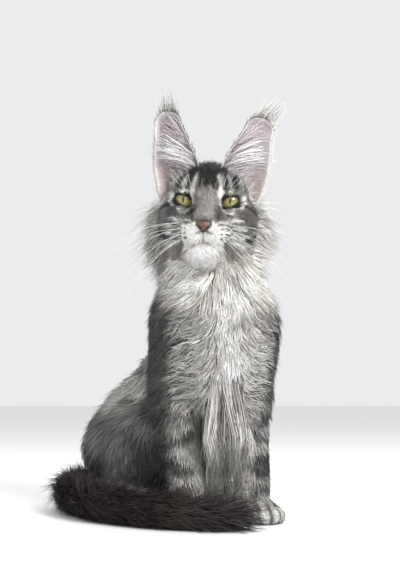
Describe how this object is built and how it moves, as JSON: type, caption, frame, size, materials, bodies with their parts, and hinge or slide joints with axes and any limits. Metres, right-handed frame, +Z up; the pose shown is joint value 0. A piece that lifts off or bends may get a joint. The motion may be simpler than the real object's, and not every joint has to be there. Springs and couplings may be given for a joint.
{
  "type": "maine coon cat",
  "caption": "Young Maine Coon cat sitting upright, grey and silver tabby with tall tufted ears, ruff and a dark plumed tail laid round its feet, as a still life-size model.",
  "frame": {"origin": "on the floor, under the middle of the cat's bounding box", "axes": "+Z up; the face looks towards -Y; the cat's own left side is towards +X"},
  "size_m": [0.2342, 0.2612, 0.4113],
  "materials": {
    "coat_grey": "soft tabby fur, grey with dark bands",
    "coat_silver": "soft silver-white fur",
    "coat_dark": "soft black-brown fur",
    "ear_skin": "thin skin with sparse pale hair",
    "nose_leather": "moist, finely pebbled",
    "eye": "wet, glossy"
  },
  "bodies": {
    "root": {"head": "coat_grey", "nose": "nose_leather", "eye_left": "eye", "eye_right": "eye", "ear_left": "ear_skin", "ear_right": "ear_skin", "neck": "coat_silver", "torso": "coat_silver", "foreleg_left": "coat_silver", "foreleg_right": "coat_silver", "forepaw_left": "coat_silver", "forepaw_right": "coat_silver", "hindleg_left": "coat_silver", "hindleg_right": "coat_silver", "hindpaw_left": "coat_silver", "hindpaw_right": "coat_silver", "tail_base": "coat_dark", "tail_middle": "coat_dark", "tail_tip": "coat_dark"}
  },
  "joints": []
}
